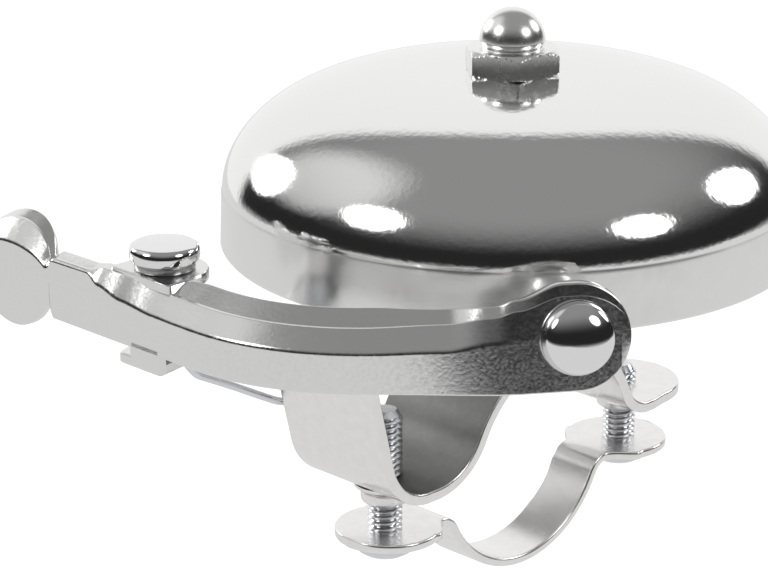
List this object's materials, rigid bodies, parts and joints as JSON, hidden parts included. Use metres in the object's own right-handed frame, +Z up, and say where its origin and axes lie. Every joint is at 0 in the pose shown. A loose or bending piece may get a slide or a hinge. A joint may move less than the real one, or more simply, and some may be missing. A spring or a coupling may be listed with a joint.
{
  "type": "bicycle bell",
  "caption": "Domed striking bell on a handlebar clamp, with a side lever that swings a round hammer against the rim and springs back.",
  "frame": {"origin": "centre of the handlebar, on the gong's axis", "axes": "+X along the handlebar, +Z up along the gong's axis away from the bar, -Y towards the lever and the gong's lever side"},
  "size_m": [0.0698, 0.0821, 0.0653],
  "materials": {
    "chrome_gong": "polished chrome over brass",
    "nickel": "bright nickel",
    "dark_steel": "plain steel",
    "pressed_steel": "satin nickel over pressed steel",
    "zinc_steel": "bright zinc",
    "chrome_lever": "chrome over coarse pressed steel",
    "bronze": "plain bronze"
  },
  "bodies": {
    "bell": {"gong": "chrome_gong", "cap_nut": "nickel", "seat_washer": "dark_steel", "gong_post": "nickel", "bracket": "pressed_steel", "pivot_bush": "bronze", "return_spring": "dark_steel"},
    "lever_arm": {"lever": "chrome_lever", "hammer_head": "nickel", "striker": "nickel", "pivot_pin": "nickel", "pin_washer": "dark_steel"},
    "clamp_strap": {"strap": "pressed_steel"},
    "left_screw": {"clamp_screw_left": "zinc_steel"},
    "right_screw": {"clamp_screw_right": "zinc_steel"}
  },
  "joints": [
    {"name": "lever_swing", "type": "hinge", "parent": "bell", "child": "lever_arm", "pos_m": [-0.0075, -0.0446, 0.028], "axis": [0, 0, -1], "range_deg": [-2.6, 28], "stiffness_Nm_per_rad": 0.05, "deforming": ["return_spring"]},
    {"name": "strap_close", "type": "slide", "parent": "bell", "child": "clamp_strap", "axis": [0, 0, 1], "range_m": [-0.0045, 0.0025]},
    {"name": "left_screw_turn", "type": "hinge", "parent": "clamp_strap", "child": "left_screw", "pos_m": [0, -0.0198, -0.005], "axis": [0, 0, 1], "range_deg": [-2320, 1290]},
    {"name": "right_screw_turn", "type": "hinge", "parent": "clamp_strap", "child": "right_screw", "pos_m": [0, 0.0198, -0.005], "axis": [0, 0, 1], "range_deg": [-2320, 1290]}
  ],
  "couplings": [
    {"joint": "left_screw_turn", "follows": "strap_close", "rad_per_m": 8976},
    {"joint": "right_screw_turn", "follows": "strap_close", "rad_per_m": 8976}
  ]
}
